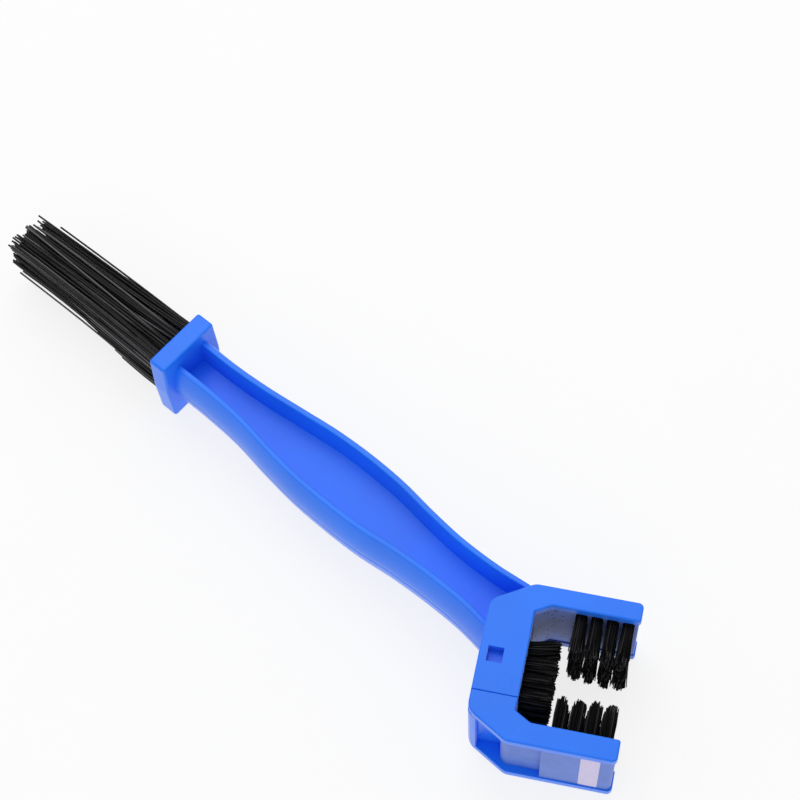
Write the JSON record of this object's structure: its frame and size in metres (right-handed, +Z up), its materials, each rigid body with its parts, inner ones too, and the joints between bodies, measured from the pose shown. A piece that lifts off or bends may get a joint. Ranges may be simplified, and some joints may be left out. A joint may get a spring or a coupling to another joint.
{
  "type": "bike chain cleaner",
  "caption": "Hand brush for a bicycle chain: a U-shaped head whose bristle pads scrub the chain between two jaws, one of them clipped on, with a stiff brush at the handle's other end.",
  "frame": {"origin": "centre of the bounding box, at the bottom plate of the head that the brush lies on", "axes": "+X along the handle from the end brush towards the head, +Y towards the side of the jaw that is moulded with the handle, +Z up through the thickness"},
  "size_m": [0.2682, 0.059, 0.033],
  "materials": {
    "blue_plastic": "smooth moulded plastic with a soft sheen",
    "bristle": "stiff black nylon filaments",
    "anchor_wire": "flat rolled wire",
    "label": "blank pale lavender label"
  },
  "bodies": {
    "handle": {"handle_moulding": "blue_plastic", "fixed_jaw_tufts_1": "bristle", "fixed_jaw_tufts_2": "bristle", "fixed_jaw_tufts_3": "bristle", "fixed_jaw_tufts_4": "bristle", "back_tufts_1": "bristle", "back_tufts_2": "bristle", "back_tufts_3": "bristle", "back_tufts_4": "bristle", "end_tufts_1": "bristle", "end_tufts_2": "bristle", "end_tufts_3": "bristle", "end_tufts_4": "bristle", "fixed_jaw_anchors": "anchor_wire", "back_anchors": "anchor_wire", "end_anchors": "anchor_wire"},
    "clip_jaw": {"clip_jaw": "blue_plastic", "latch_finger": "blue_plastic", "blank_label": "label", "clip_jaw_tufts_1": "bristle", "clip_jaw_tufts_2": "bristle", "clip_jaw_tufts_3": "bristle", "clip_jaw_tufts_4": "bristle", "clip_jaw_anchors": "anchor_wire"}
  },
  "joints": [
    {"name": "clip_jaw_slide", "type": "slide", "parent": "handle", "child": "clip_jaw", "axis": [0.4848, -0.8746, 0], "range_m": [0, 0.03], "deforming": ["latch_finger"]}
  ]
}
